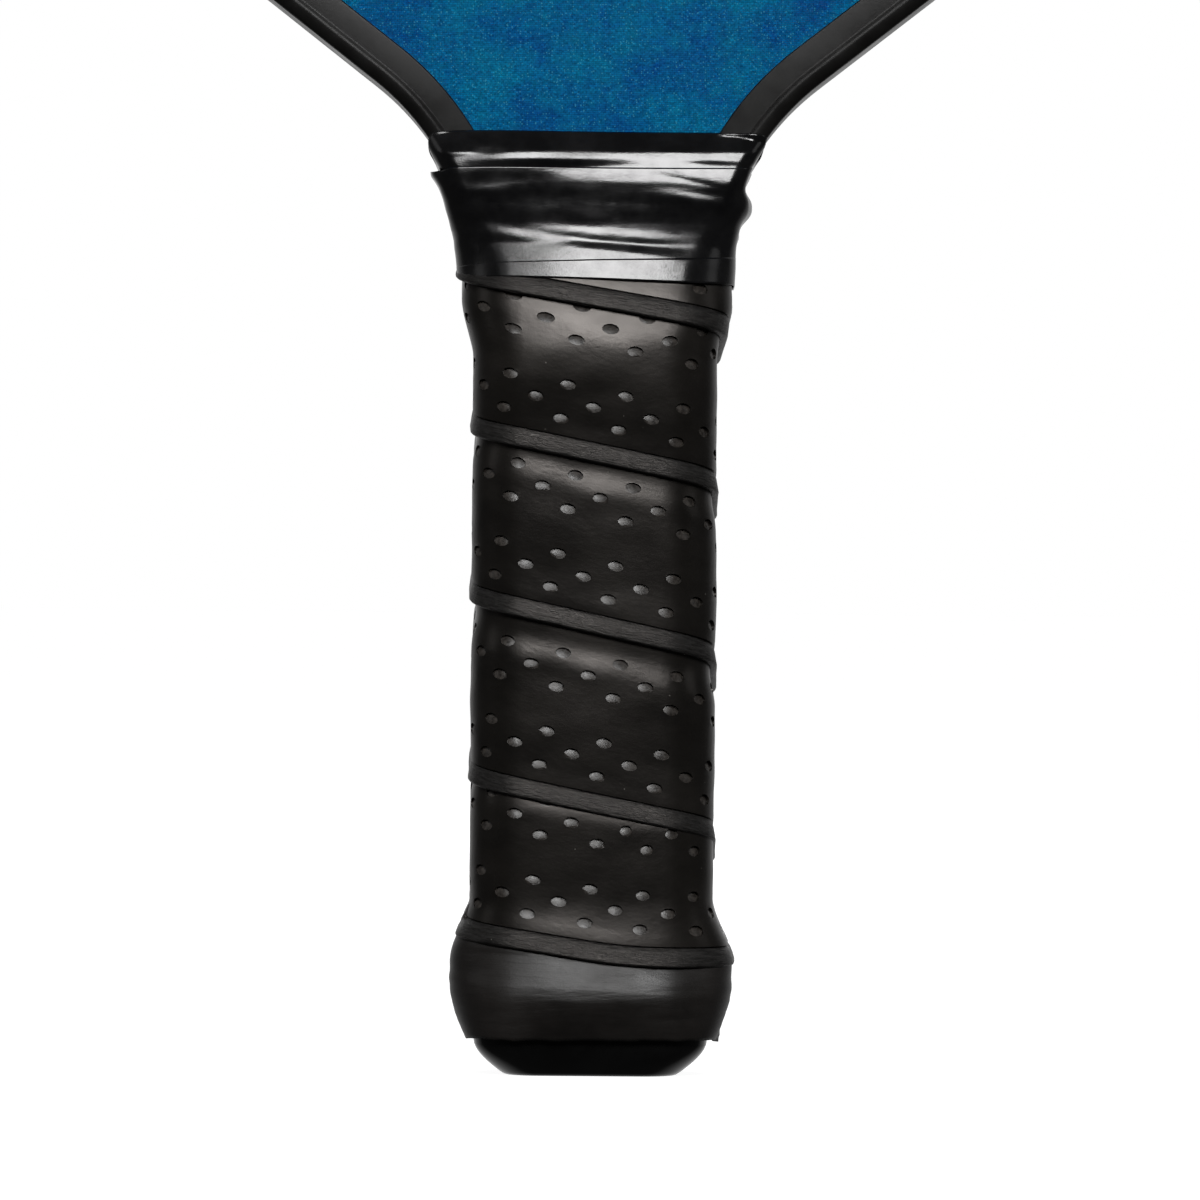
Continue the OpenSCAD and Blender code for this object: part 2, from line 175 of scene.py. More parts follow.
face_print, tree, shader, place = new_material("face_print", 0.24, 0.05)
axes = add(tree, "SeparateXYZ", {0: place}).outputs
flat_place = add(tree, "CombineXYZ", {0: axes["X"], 1: axes["Z"]}).outputs[0]
clouds = math_of(tree, "ADD", math_of(tree, "MULTIPLY", grain(tree, flat_place, 90, 5, 0.6), 0.65),
                 math_of(tree, "MULTIPLY", grain(tree, flat_place, 600, 4, 0.7), 0.35))
ground = mixed(tree, between(tree, clouds, 0.36, 0.64), DEEP_BLUE, TEAL)
weave = add(tree, "TexBrick", {
    "Vector": flat_place, "Color1": (0.74, 0.74, 0.74, 1), "Color2": (1.22, 1.22, 1.22, 1),
    "Mortar": (0.50, 0.50, 0.50, 1), "Scale": 1.0, "Mortar Size": 0.05 * MM, "Mortar Smooth": 1.0,
    "Brick Width": 2 * THREAD, "Row Height": THREAD}, offset=0.5)
uneven = between(tree, grain(tree, flat_place, 3000, 2), 0.3, 0.7, 0.7, 1.35)
dashes = add(tree, "VectorMath", {0: weave.outputs["Color"], 1: uneven}, operation="MULTIPLY").outputs[0]
woven = add(tree, "VectorMath", {0: ground, 1: dashes}, operation="MULTIPLY").outputs[0]
# Painted glints: small bright spots in the base colour stand in for the weave catching the light
painted_glint = math_of(tree, "MULTIPLY", spots(tree, flat_place, PAINTED_GLINT_SPACING, 0.45, 0.15, 0.32), 0.55)
coat(tree, shader, mixed(tree, painted_glint, woven, PAINTED_GLINT), between(tree, clouds, 0.3, 0.7, 0.20, 0.28))
bump(tree, shader, weave.outputs["Fac"], -0.006 * MM)
finish_nodes(face_print, "front_face", "back_face")

# ---- Guard tape ----
# Double-sided foam strip between the guard's web and the panel's edge.
strip_foam = mottled("edge_strip_foam", (0.55, 0.55, 0.53), (0.68, 0.68, 0.66), 700, 0.8, 0.04 * MM,
                     specular=0.2)
finish_nodes(strip_foam, "edge_guard_tape")

# ---- Edge guard ----
# Extruded black plastic channel pressed round the panel: a rounded outer bead stands a little
# proud of two flat lips. At the throat the lips are trimmed off and only the web runs on down.
# Between its lips this piece is solid, where the panel's edge fills the channel.
HEIGHT = 400             # these sizes, and those of the pieces below, are in millimetres
HALF_WIDTH = 101.5
GUARD_HALF = 16.4        # half width across the guard at the throat
THROAT_Z = 106.5
THROAT_R = 36
SHOULDER = math.radians(38)
LOWER_R = 75
UPPER_R = 62
ARCH_R = 420
PANEL_HALF = 7.15
WEB = 1.65
WEB_END_Z = 101.5
LIP_W = 5.8
LIP_HALF = 8.05
LIP_END_Z = 123.4
LIP_START = 2.45
BEAD_HALF = 8.3
BEAD_R = 1.6
CROWN_END = 1.9          # the bead's crown reaches this far in, and its slope meets the lip after that
WELD = 0.002             # corners nearer to each other than this are one


def start_piece(name, add_primitive, **settings):
    """Adds a primitive as a new piece and opens it for editing, with nothing else selected."""
    bpy.ops.object.select_all(action="DESELECT")
    add_primitive(**settings)
    piece = bpy.context.object
    piece.name = piece.data.name = name
    bpy.ops.object.transform_apply(location=True, rotation=True, scale=True)
    bpy.ops.object.mode_set(mode="EDIT")
    bpy.ops.mesh.select_mode(type="VERT")
    return piece


def pick(piece, wanted, mode="VERT"):
    """Selects the corners of the piece for which wanted(place in millimetres) holds."""
    bpy.ops.mesh.select_mode(type="VERT")
    bpy.ops.mesh.select_all(action="DESELECT")
    bpy.ops.object.mode_set(mode="OBJECT")
    for corner in piece.data.vertices:
        corner.select = bool(wanted(corner.co / MM))
    bpy.ops.object.mode_set(mode="EDIT")
    bpy.ops.mesh.select_mode(type=mode)


def size_to(x, y, z, about):
    """Stretches the selection about a point."""
    bpy.ops.transform.resize(value=(x, y, z), center_override=tuple(c * MM for c in about))


def move(x, y, z):
    """Shifts the selection."""
    bpy.ops.transform.translate(value=(x * MM, y * MM, z * MM))


def round_corners(radius, segments):
    """Rounds the selected corners of a flat outline."""
    bpy.ops.mesh.bevel(offset=radius * MM, segments=segments, profile=0.5, affect="VERTICES")


def to_loop():
    """Turns the selected faces into their outline alone."""
    bpy.ops.mesh.select_all(action="SELECT")
    bpy.ops.mesh.dissolve_faces()
    bpy.ops.mesh.select_all(action="SELECT")
    bpy.ops.mesh.delete(type="ONLY_FACE")
    bpy.ops.mesh.select_all(action="SELECT")


def turn_about(centre, degrees, count):
    """Spins the selected loop about a point of the outline. Positive turns its top to the right."""
    bpy.ops.mesh.spin(steps=count, angle=-math.radians(degrees), axis=(0, 1, 0),
                      center=(centre[0] * MM, 0, centre[1] * MM))


def run_to(x, z, count=1):
    """Extrudes the selected loop by x and z in equal steps."""
    for _ in range(count):
        bpy.ops.mesh.extrude_region_move(
            TRANSFORM_OT_translate={"value": (x * MM / count, 0, z * MM / count)})


def finished(piece, smooth=35):
    """Welds, faces outwards and shades a piece that has just been edited."""
    bpy.ops.object.mode_set(mode="EDIT")
    bpy.ops.mesh.select_all(action="SELECT")
    bpy.ops.mesh.remove_doubles(threshold=WELD * MM)
    bpy.ops.mesh.normals_make_consistent(inside=False)
    bpy.ops.object.mode_set(mode="OBJECT")
    bpy.ops.object.select_all(action="DESELECT")
    piece.select_set(True)
    bpy.context.view_layer.objects.active = piece
    bpy.ops.object.shade_smooth_by_angle(angle=math.radians(smooth))


def belongs(piece, material, slot, *nodes):
    """Gives a piece its finish and its place in the assembly."""
    piece.data.materials.clear()
    piece.data.materials.append(material)
    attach(piece, "root")
    if nodes:
        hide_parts(*nodes)


# The outline's arcs, by their centres across and up. A straight shoulder joins the first two.
throat_c = (GUARD_HALF + THROAT_R, THROAT_Z)
shoulder_start = (throat_c[0] - THROAT_R * math.sin(SHOULDER), throat_c[1] + THROAT_R * math.cos(SHOULDER))
lower_x = HALF_WIDTH - LOWER_R
lower_c = (lower_x, shoulder_start[1] + (lower_x - shoulder_start[0]) * math.tan(SHOULDER)
           + LOWER_R / math.cos(SHOULDER))
arch_c = (0, HEIGHT - ARCH_R)
upper_x = HALF_WIDTH - UPPER_R
upper_c = (upper_x, arch_c[1] + math.sqrt((ARCH_R - UPPER_R) ** 2 - upper_x ** 2))
arch_angle = math.degrees(math.atan2(upper_c[1] - arch_c[1], upper_x))
lip_turn = math.asin((LIP_END_Z - THROAT_Z) / THROAT_R)      # from the throat's waist to the lips' ends

guard = start_piece("edge_guard_moulding", bpy.ops.mesh.primitive_plane_add, size=1,
                    location=((GUARD_HALF - WEB / 2) * MM, 0, THROAT_Z * MM))
bpy.ops.mesh.select_all(action="SELECT")
size_to(WEB * MM, 2 * BEAD_HALF * MM, 1, (GUARD_HALF - WEB / 2, 0, THROAT_Z))
for side in (-1, 1):
    bpy.ops.mesh.select_all(action="SELECT")
    bpy.ops.mesh.bisect(plane_co=(0, side * PANEL_HALF * MM, 0), plane_no=(0, 1, 0))
pick(guard, lambda p: p.x < GUARD_HALF - WEB + 0.01, "EDGE")
bpy.ops.mesh.extrude_region_move(TRANSFORM_OT_translate={"value": (-(LIP_W - WEB) * MM, 0, 0)})
for inwards in (CROWN_END, LIP_START):
    bpy.ops.mesh.select_all(action="SELECT")
    bpy.ops.mesh.bisect(plane_co=((GUARD_HALF - inwards) * MM, 0, 0), plane_no=(1, 0, 0))
for side in (-1, 1):
    pick(guard, lambda p: p.x < GUARD_HALF - LIP_START + 0.01 and side * p.y > BEAD_HALF - 0.01)
    move(0, side * (LIP_HALF - BEAD_HALF), 0)
bpy.ops.mesh.select_all(action="SELECT")
bpy.ops.mesh.dissolve_faces()
pick(guard, lambda p: p.x > GUARD_HALF - 0.01 and abs(p.y) > BEAD_HALF - 0.01)
round_corners(BEAD_R, 7)
pick(guard, lambda p: abs(p.x - GUARD_HALF + CROWN_END) < 0.01 and abs(p.y) > BEAD_HALF - 0.01)
round_corners(0.22, 3)
pick(guard, lambda p: abs(p.x - GUARD_HALF + LIP_START) < 0.01 and abs(p.y) > LIP_HALF - 0.01)
round_corners(0.12, 2)
pick(guard, lambda p: abs(p.x - GUARD_HALF + LIP_W) < 0.01 and abs(p.y) > LIP_HALF - 0.01)
round_corners(0.3, 3)
to_loop()
bpy.ops.object.mode_set(mode="OBJECT")
throat_centre = Vector((throat_c[0] * MM, 0, THROAT_Z * MM))
for corner in guard.data.vertices:
    corner.co = Matrix.Rotation(lip_turn, 3, "Y") @ (corner.co - throat_centre) + throat_centre
bpy.ops.object.mode_set(mode="EDIT")
bpy.ops.mesh.select_all(action="SELECT")
shoulder_turn = 90 - math.degrees(SHOULDER)
turn_about(throat_c, shoulder_turn - math.degrees(lip_turn), 12)
run_to(lower_c[0] + LOWER_R * math.sin(SHOULDER) - shoulder_start[0],
       lower_c[1] - LOWER_R * math.cos(SHOULDER) - shoulder_start[1], 6)
turn_about(lower_c, -shoulder_turn, 24)
run_to(0, upper_c[1] - lower_c[1], 8)
turn_about(upper_c, -arch_angle, 36)
turn_about(arch_c, -(90 - arch_angle), 6)
bpy.ops.mesh.select_all(action="DESELECT")
bpy.ops.mesh.primitive_plane_add(size=1, location=((GUARD_HALF - WEB / 2) * MM, 0, WEB_END_Z * MM))
size_to(WEB * MM, 2 * PANEL_HALF * MM, 1, (GUARD_HALF - WEB / 2, 0, WEB_END_Z))
round_corners(0.5, 3)
bpy.ops.mesh.delete(type="ONLY_FACE")
pick(guard, lambda p: p.z < WEB_END_Z + 0.1)
bpy.ops.mesh.edge_face_add()
run_to(0, THROAT_Z - WEB_END_Z, 2)
turn_about(throat_c, math.degrees(lip_turn) + 1, 12)
bpy.ops.object.mode_set(mode="OBJECT")
mirror = guard.modifiers.new("other_half", "MIRROR")
mirror.merge_threshold = 0.02 * MM
bpy.ops.object.modifier_apply(modifier=mirror.name)
bpy.ops.object.mode_set(mode="EDIT")
bpy.ops.mesh.select_all(action="SELECT")
bpy.ops.mesh.remove_doubles(threshold=WELD * MM)
bpy.ops.mesh.select_all(action="DESELECT")
bpy.ops.mesh.select_non_manifold(extend=False)
bpy.ops.mesh.fill_holes(sides=0)
finished(guard, 30)

guard_plastic, tree, shader, place = new_material("guard_plastic", 0.34, 0.22)
scuffs = between(tree, grain(tree, place, 120, 5, 0.65), 0.4, 0.65)
coat(tree, shader, mixed(tree, scuffs, (0.007, 0.0067, 0.0065), (0.012, 0.0117, 0.0112)),
     between(tree, scuffs, 0, 1, 0.28, 0.38))
bump(tree, shader, grain(tree, place, 2500, 3), 0.006 * MM)
belongs(guard, guard_plastic, "guard", "edge_guard")

# ---- Pallets and their tape ----
# Two rigid foam halves stuck on the tongue with double-sided sheets give the handle its section.
pallet_foam = mottled("pallet_foam", (0.62, 0.50, 0.33), (0.74, 0.62, 0.43), 900, 0.8, 0.06 * MM,
                      specular=0.2)
finish_nodes(pallet_foam, "handle_pallet_front", "handle_pallet_back")
sheet_tape = mottled("sheet_tape", (0.72, 0.66, 0.50), (0.82, 0.77, 0.62), 300, 0.35, 0.01 * MM)
finish_nodes(sheet_tape, "pallet_tape_front", "pallet_tape_back", "grip_adhesive_strip")

# ---- Butt cap ----
# Glossy black moulded cap with a rounded flat end. Its skirt swells outwards, and its cavity
# takes the ends of the tongue and pallets. Two staples hold it.
BARE_A = 14.45           # half width and half depth of the bare handle
BARE_B = 11.95
CAP_SEAM_Z = 5.1         # where the sleeve's lower edge lies on the cap
WIDEST_Z = 12.7
SKIRT_TOP_Z = 19.5
BASE_T = 3               # thickness of the cap under its cavity
FOOT_OUT = -2.75         # how far the cap stands out from the bare handle at its foot, and so on up
SEAM_OUT = 1.45
WIDEST_OUT = 2.65
SKIRT_OUT = 1.70
CAVITY_GAP = 0.12


def ease(x):
    """0 up to x = 0 and 1 from x = 1, with a smooth turn between."""
    x = min(max(x, 0), 1)
    return (1 - math.cos(math.pi * x)) / 2


def cap_half(z):
    """How far the cap stands out from the bare handle at height z."""
    if z < CAP_SEAM_Z:
        return FOOT_OUT + (SEAM_OUT - FOOT_OUT) * math.sin(math.pi / 2 * z / CAP_SEAM_Z)
    if z < WIDEST_Z:
        up = (z - CAP_SEAM_Z) / (WIDEST_Z - CAP_SEAM_Z)
        return SEAM_OUT + (WIDEST_OUT - SEAM_OUT) * math.sin(math.pi / 2 * up)
    return WIDEST_OUT - (WIDEST_OUT - SKIRT_OUT) * ease((z - WIDEST_Z) / (SKIRT_TOP_Z - WIDEST_Z))


cap = start_piece("moulded_butt_cap", bpy.ops.mesh.primitive_plane_add, size=1, location=(0, 0, 0))
bpy.ops.mesh.select_all(action="SELECT")
cap_rings = [0, 0.12, 0.4, 0.8, 1.3, 1.9, 2.5, 3.1, 3.7, 4.3, CAP_SEAM_Z,
             6.2, 7.6, 9.2, 11, WIDEST_Z, 14.4, 16.1, 17.8, SKIRT_TOP_Z]
first = cap_half(0) - 0.35       # the flat end is drawn in, so that its rim is a small round
size_to(2 * (BARE_A + first) * MM, 2 * (BARE_B + first) * MM, 1, (0, 0, 0))
round_corners(4.4, 8)
bpy.ops.mesh.select_mode(type="FACE")
bpy.ops.mesh.select_all(action="SELECT")
last = flat_last = first
for low, high in zip(cap_rings, cap_rings[1:]):
    out = cap_half(high) - (0.08 if high < 0.2 else 0)
    flat_out = min(out, 2.9 - 2.2 * ease((high - 8) / 9))     # the front and back draw in sooner
    bpy.ops.mesh.extrude_region_move(TRANSFORM_OT_translate={"value": (0, 0, (high - low) * MM)})
    size_to((BARE_A + out) / (BARE_A + last), (BARE_B + flat_out) / (BARE_B + flat_last), 1, (0, 0, high))
    last, flat_last = out, flat_out
bpy.ops.mesh.inset(thickness=(flat_last - CAVITY_GAP) * MM)
cavity_a = BARE_A + CAVITY_GAP
size_to(cavity_a / (cavity_a + last - flat_last), 1, 1, (0, 0, SKIRT_TOP_Z))
run_to(0, BASE_T - SKIRT_TOP_Z)
bpy.ops.mesh.select_all(action="DESELECT")
pick(cap, lambda p: p.z < 0.01, "FACE")
bpy.ops.mesh.inset(thickness=0.3 * MM)
bpy.ops.mesh.inset(thickness=3.5 * MM)
finished(cap, 40)
bpy.ops.object.mode_set(mode="OBJECT")

gloss_black, tree, shader, place = new_material("gloss_black_plastic", 0.12, 0.25)
haze = between(tree, grain(tree, place, 160, 4, 0.6), 0.4, 0.7)
coat(tree, shader, mixed(tree, haze, (0.004, 0.004, 0.004), (0.009, 0.009, 0.009)),
     between(tree, haze, 0, 1, 0.09, 0.17))
bump(tree, shader, grain(tree, place, 500, 2), 0.004 * MM)
belongs(cap, gloss_black, "cap", "butt_cap")

# ---- Staples ----
# Bright zinc-plated wire staples: two through the cap's skirt, one through the grip's start.
zinc = mottled("zinc_wire", (0.50, 0.50, 0.49), (0.66, 0.66, 0.65), 1500, 0.3, 0.01 * MM)
zinc.node_tree.nodes["Principled BSDF"].inputs["Metallic"].default_value = 1.0
finish_nodes(zinc, "butt_cap_staples", "grip_staple")

# ---- Butt sleeve ----
# Soft rubbery collar stretched over the cap's swell. It wrinkles a little round the handle,
# and its lower edge is cut by hand, with a small flap at one corner.
GRIP_A = 16.5            # half width, half depth and corner radius of the wound grip
GRIP_B = 14.0
GRIP_R = 6.7
FRONT_RUN = GRIP_A - GRIP_R
SIDE_RUN = GRIP_B - GRIP_R
CORNER_RUN = math.pi / 2 * GRIP_R
QUARTER = FRONT_RUN + CORNER_RUN + SIDE_RUN
LAP = 4 * QUARTER        # once round the handle
BEAD_CORNER = 1.9        # corner radius over the guard's beads
SLEEVE_TOP_Z = 24
SLEEVE_T = 0.8
FLAP_U = 22              # where the cut edge has its flap, round from the front's middle
FLAP_W = 1.3

# How steeply the front and back fall back towards the face: height, and fall per millimetre.
THROAT_SLOPES = [(84, 0), (88, -0.08), (93, -0.08), (96.5, 0.02), (99.5, 0.13), (101.5, 0.21), (107, 0.22),
                 (108, 0.25), (112.4, 0.25), (113.0, 0.145), (115.4, 0.13), (115.9, 0.02), (117, 0),
                 (118.2, 0.09), (119.6, 0.05), (120.8, 0.12), (121.4, 0.28), (125.2, 0.30),
                 (125.6, 0.75), (129, 0.75)]


def section_at(z):
    """Half width, half depth and corner radius of the wrapped handle at height z."""
    flare = 1.75 * ease((z - 97) / 9)
    above = min(max(z - THROAT_Z, 0), 24)
    guard_out = THROAT_R - math.sqrt(THROAT_R ** 2 - above ** 2)
    thin = 1.85 * ease((z - 114) / 10)
    depth = GRIP_B
    for (low, low_slope), (high, high_slope) in zip(THROAT_SLOPES, THROAT_SLOPES[1:]):
        part = min(max((z - low) / (high - low), 0), 1)
        depth -= (high - low) * part * (low_slope + (high_slope - low_slope) * part / 2)
    corner = GRIP_R - (GRIP_R - BEAD_CORNER) * ease((z - 108) / 15)
    return GRIP_A + flare + guard_out - thin, depth, corner


def on_handle(u, z, out):
    """A point of the wrapped handle, u round it from the front's middle, out from its section."""
    a, b, r = section_at(z)
    quarter, along = divmod(u % LAP, QUARTER)
    if quarter % 2:
        along = QUARTER - along
    if along < FRONT_RUN:
        x, y, nx, ny = (a - r) * along / FRONT_RUN, b, 0, 1
    elif along < FRONT_RUN + CORNER_RUN:
        angle = (along - FRONT_RUN) / GRIP_R
        nx, ny = math.sin(angle), math.cos(angle)
        x, y = a - r + r * nx, b - r + r * ny
    else:
        x, y, nx, ny = a, (b - r) * (QUARTER - along) / SIDE_RUN, 1, 0
    crown = (2.0 * ease((z - 4) / 6) - 1.0 * ease((z - 14) / 10) + 0.35 * ease((z - 97) / 9)
             - 1.35 * ease((z - 113) / 8))
    y *= 1 - crown / b * (x / a) ** 2
    right = 1 if quarter < 2 else -1
    back = 1 if quarter in (1, 2) else -1
    return Vector((right * (x + out * nx), back * (y + out * ny), z)) * MM


def lumps(u, z, across, up, seed):
    """Smooth unevenness from -1 to 1 that closes round the handle, by lump size across and up."""
    turn = 2 * math.pi * (u % LAP) / LAP
    reach = LAP / (2 * math.pi * across)
    return noise.noise(Vector((reach * math.cos(turn) + seed, reach * math.sin(turn), z / up)))


# The grip tape's lower edge, as laps up from the last turn: the lap, and the height there.
SEAM_LAPS = [-1, 0, 1, 2, 3, 4, 4.25, 4.5, 4.8]
SEAM_HEIGHTS = [127.5, 104.5, 83.5, 60.4, 36.2, 16.2, 15.6, 17.0, 21.5]


def seam_height(lap):
    """Height of the tape's lower edge after so many laps, on a smooth curve."""
    last = len(SEAM_LAPS) - 1
    i = max(n for n in range(last) if n == 0 or SEAM_LAPS[n] <= lap)

    def slope(n):
        low, high = max(n - 1, 0), min(n + 1, last)
        return (SEAM_HEIGHTS[high] - SEAM_HEIGHTS[low]) / (SEAM_LAPS[high] - SEAM_LAPS[low])
    run = SEAM_LAPS[i + 1] - SEAM_LAPS[i]
    t = (lap - SEAM_LAPS[i]) / run
    return ((1 + 2 * t) * (1 - t) ** 2 * SEAM_HEIGHTS[i] + t * (1 - t) ** 2 * run * slope(i)
            + t * t * (3 - 2 * t) * SEAM_HEIGHTS[i + 1] - t * t * (1 - t) * run * slope(i + 1))


def around_from(u, middle):
    """How far u is round the handle from a given place, the shorter way."""
    return (u - middle + LAP / 2) % LAP - LAP / 2


def swell(u, z):
    """How far the butt's swell carries the wrap outwards. It ends lower on the flats than at the sides."""
    past_side = abs(around_from(2 * u, LAP / 2)) / 2
    flat = ease((past_side - SIDE_RUN) / CORNER_RUN)
    side_swell = 2.65 * (1 - ease((z - 15.5) / 8.5))
    flat_swell = 3.0 - 2.1 * ease((z - 9) / 9.5) - 0.9 * ease((z - 16.5) / 8)
    return side_swell + (flat_swell - side_swell) * flat


def lowest_seam(u):
    """Height of the grip tape's lower edge where it first crosses the sleeve."""
    turn = (u % LAP) / LAP
    return seam_height(4 + turn) if turn < 0.8 else seam_height(3 + turn)


def sleeve_out(u, z):
    """How far the sleeve stands out: swell, wrinkles, the flap, and its top drawn in under the tape."""
    up = min(max((z - CAP_SEAM_Z) / (WIDEST_Z - CAP_SEAM_Z), 0), 1)
    low = 0.5 + 2.2 * math.sin(math.pi / 2 * up)
    under = 0.66 * ease(z - lowest_seam(u) + 0.3)
    rings = 0.09 * lumps(u, z, 9, 0.9, 3) * ease((z - 5) / 2) + 0.12 * lumps(u, z, 7, 4, 8)
    flap = 0.45 * math.exp(-((u - FLAP_U) / FLAP_W) ** 2) * (1 - ease((z - 5.2) / 1.6))
    return low + swell(u, z) - swell(u, 5) - under + rings + flap


SLEEVE_ROUND = 180
SLEEVE_UP = 40
sleeve = start_piece("stretched_butt_sleeve", bpy.ops.mesh.primitive_grid_add,
                     x_subdivisions=SLEEVE_ROUND, y_subdivisions=SLEEVE_UP, size=1)
bpy.ops.object.mode_set(mode="OBJECT")
for corner in sleeve.data.vertices:
    u, t = (corner.co.x + 0.5) * LAP, corner.co.y + 0.5
    foot = CAP_SEAM_Z + 0.28 * lumps(u, 0, 6, 1, 5) + 0.16 * lumps(u, 0, 2, 1, 6)
    foot -= 0.5 * math.exp(-((u - FLAP_U) / FLAP_W) ** 2) - 0.7 * math.exp(-((u - FLAP_U - 2.4) / 0.7) ** 2)
    z = foot + (SLEEVE_TOP_Z - foot) * t
    corner.co = on_handle(u, z, sleeve_out(u, z))
finished(sleeve, 60)
wall = sleeve.modifiers.new("wall", "SOLIDIFY")
wall.thickness = SLEEVE_T * MM
wall.offset = -1
bpy.ops.object.modifier_apply(modifier=wall.name)

sleeve_rubber, tree, shader, place = new_material("sleeve_rubber", 0.43, 0.5)
patch = between(tree, grain(tree, place, 110, 5, 0.6), 0.35, 0.7)
coat(tree, shader, mixed(tree, patch, (0.009, 0.0078, 0.007), (0.018, 0.0155, 0.014)),
     between(tree, patch, 0, 1, 0.36, 0.50))
squashed = add(tree, "Mapping", {"Vector": place, "Scale": (1, 1, 6)}).outputs[0]
ripples = bump(tree, shader, grain(tree, squashed, 90, 4, 0.6), 0.10 * MM)
bump(tree, shader, grain(tree, place, 3000, 3), 0.010 * MM, ripples)
belongs(sleeve, sleeve_rubber, "sleeve", "butt_sleeve")

# ---- Grip cushion and cover ----
# One tape, wound up the handle from the butt with its edges overlapping. Its foam is bonded to a
# thin polyurethane skin, which is punched in rows, and the foam rises in each hole as a low dome.
# The skin alone runs on past the foam along the lower edge, as a skived band over the turn below.
CELL = 0.77              # the flat tape is modelled on a grid of this size
TILE_CELLS = 6           # holes repeat after this many cells along the tape
TAPE_CELLS = 32          # cells across the tape
HOLE_ROWS = [(6, 1), (9, 4), (12, 1), (20, 1), (23, 4), (26, 1)]   # up, along, in cells
HOLE_R = 0.73
HOLE_ALONG = 0.87        # how much narrower a hole is along the slack tape
HOLE_PITCH = 7.8         # between holes of a row, once the tape is pulled on
SKIN = 0.45
BAND = 3 * CELL          # width of the skived band
DUST_SPACING = 2.2
TILE = TILE_CELLS * CELL
TAPE_W = TAPE_CELLS * CELL
PULL = HOLE_PITCH / TILE
START_LAP = -0.614
END_LAP = 4.8
GRIP_TOP_Z = 116.4       # the wound tape is cut off level here, under the finishing tape
DOME_TOP = 0.26          # the foam's dome in a hole: its height, its leans up and right, and its curve
DOME_LEAN_UP = 0.28
DOME_LEAN_RIGHT = 0.06
DOME_CURVE = 0.12
hole_centres = [Vector((along * CELL, up * CELL, 0)) for up, along in HOLE_ROWS]


def tape_relief(v):
    """Height of the skin across the tape: band, crease, pillowed foam, and the overlapped edge."""
    crease = 0.24 * math.exp(-((v - BAND) / 0.13) ** 2)
    if v < BAND:
        return 0.42 - 0.46 * v / BAND - crease
    pillow = 0.16 * math.exp(-(v - BAND) / 0.8) + 0.10 * math.sin(math.pi * min((v - BAND) / 19, 1))
    return pillow - crease - 0.54 * ease((v - 17.6) / 4.6)


def punched_tile(name):
    """One repeat of the flat tape with its holes cut out."""
    tile = start_piece(name, bpy.ops.mesh.primitive_grid_add, x_subdivisions=TILE_CELLS,
                       y_subdivisions=TAPE_CELLS, size=1)
    bpy.ops.mesh.select_all(action="SELECT")
    size_to(TILE * MM, TAPE_W * MM, 1, (0, 0, 0))
    move(TILE / 2, TAPE_W / 2, 0)
    pick(tile, lambda p: any((p - c).length < 0.01 for c in hole_centres))
    bpy.ops.mesh.bevel(offset=HOLE_R * MM, segments=3, profile=0.15, affect="VERTICES")
    bpy.ops.object.mode_set(mode="OBJECT")
    for centre in hole_centres:
        rim = [p for p in tile.data.vertices if 0.6 * HOLE_R < (p.co / MM - centre).length < HOLE_R + 0.02]
        rim.sort(key=lambda p: math.atan2(p.co.y / MM - centre.y, p.co.x / MM - centre.x)
                 % (2 * math.pi - 0.01))
        for i, p in enumerate(rim):
            angle = 2 * math.pi * i / len(rim)
            p.co = (centre + Vector((HOLE_ALONG * math.cos(angle), math.sin(angle), 0)) * HOLE_R) * MM
    bpy.ops.object.mode_set(mode="EDIT")
    pick(tile, lambda p: any((p - c).length < HOLE_R * 0.6 for c in hole_centres))
    bpy.ops.mesh.delete(type="VERT")
    return tile


def laid_out(tile):
    """Repeats the tile along the whole tape and welds the repeats."""
    bpy.ops.object.mode_set(mode="OBJECT")
    repeat = tile.modifiers.new("repeats", "ARRAY")
    repeat.use_relative_offset = False
    repeat.use_constant_offset = True
    repeat.constant_offset_displace = (TILE * MM, 0, 0)
    repeat.count = math.ceil((END_LAP - START_LAP) * LAP / HOLE_PITCH)
    repeat.use_merge_vertices = True
    repeat.merge_threshold = 0.01 * MM
    bpy.ops.object.modifier_apply(modifier=repeat.name)


def wind(piece):
    """Winds the flat tape round the handle, keeping each point's flat place for its grain."""
    flat = piece.data.attributes.new("flat", "FLOAT_VECTOR", "POINT")
    flat.data.foreach_set("vector", [c for p in piece.data.vertices for c in p.co])
    for p in piece.data.vertices:
        s, v, h = p.co / MM
        lap = START_LAP + s * PULL / LAP
        edge = seam_height(min(lap, END_LAP))
        lean = math.atan((seam_height(min(lap, END_LAP) - 0.02) - edge) / (0.02 * LAP))
        u = lap * LAP + v * math.sin(lean)
        z = edge + v * math.cos(lean)
        uneven = 0.18 * lumps(u, z, 14, 9, 21) + 0.08 * lumps(u, z, 6, 3.5, 22)
        top_turn = 0.45 * (1 - ease((lap - 0.2) / 0.5)) * (1 - ease((v - 1) / 7))
        top_turn += 0.38 * ease((v - 17.6) / 4.6) * ease((z - 95) / 5)
        under = 0.9 * ease((z - 108.6) / 3)
        p.co = on_handle(u, z, h + swell(u, z) + uneven + top_turn - under)
    bpy.ops.object.mode_set(mode="EDIT")
    bpy.ops.mesh.select_all(action="SELECT")
    bpy.ops.mesh.bisect(plane_co=(0, 0, GRIP_TOP_Z * MM), plane_no=(0, 0, 1), clear_outer=True)
    bpy.ops.mesh.select_all(action="DESELECT")
    bpy.ops.mesh.select_non_manifold(extend=False)
    bpy.ops.mesh.fill_holes(sides=0)


